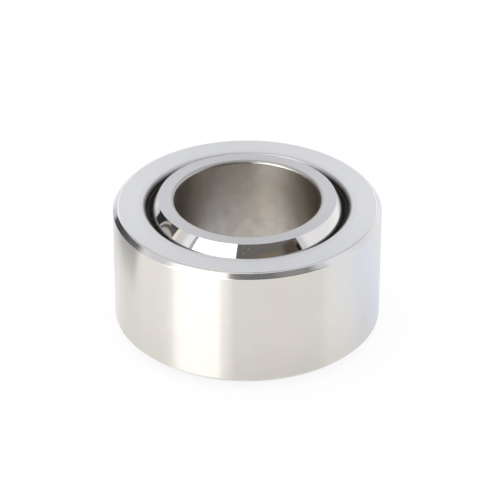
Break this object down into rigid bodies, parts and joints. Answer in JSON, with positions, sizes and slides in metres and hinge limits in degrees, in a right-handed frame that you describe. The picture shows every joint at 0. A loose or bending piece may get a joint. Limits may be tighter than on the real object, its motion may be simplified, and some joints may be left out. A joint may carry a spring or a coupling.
{
  "type": "spherical plain bearing",
  "caption": "Spherical plain bearing: a bored ball-shaped inner ring that turns and tilts in a plain cylindrical outer ring on a bonded sliding liner.",
  "frame": {"origin": "centre of the ball, which is also the centre of the outer ring", "axes": "+Z along the bore axis, out of the upper face; the bearing lies flat, as in the picture; X and Y are alike, and +X is the axis that the modelled tilt turns about"},
  "size_m": [0.046, 0.046, 0.024],
  "materials": {
    "ground_steel": "ground outside, satin faces, polished chamfers",
    "lapped_steel": "mirror-lapped ball, satin faces, honed bore",
    "woven_liner": "resin-bonded woven sliding fabric, brown"
  },
  "bodies": {
    "outer_ring_assembly": {"outer_ring": "ground_steel", "sliding_liner": "woven_liner"},
    "inner_ring_body": {"inner_ring": "lapped_steel"}
  },
  "joints": [
    {"name": "inner_ring_tilt", "type": "hinge", "parent": "outer_ring_assembly", "child": "inner_ring_body", "pos_m": [0, 0, 0], "axis": [1, 0, 0], "range_deg": [-4.5, 4.5]}
  ]
}
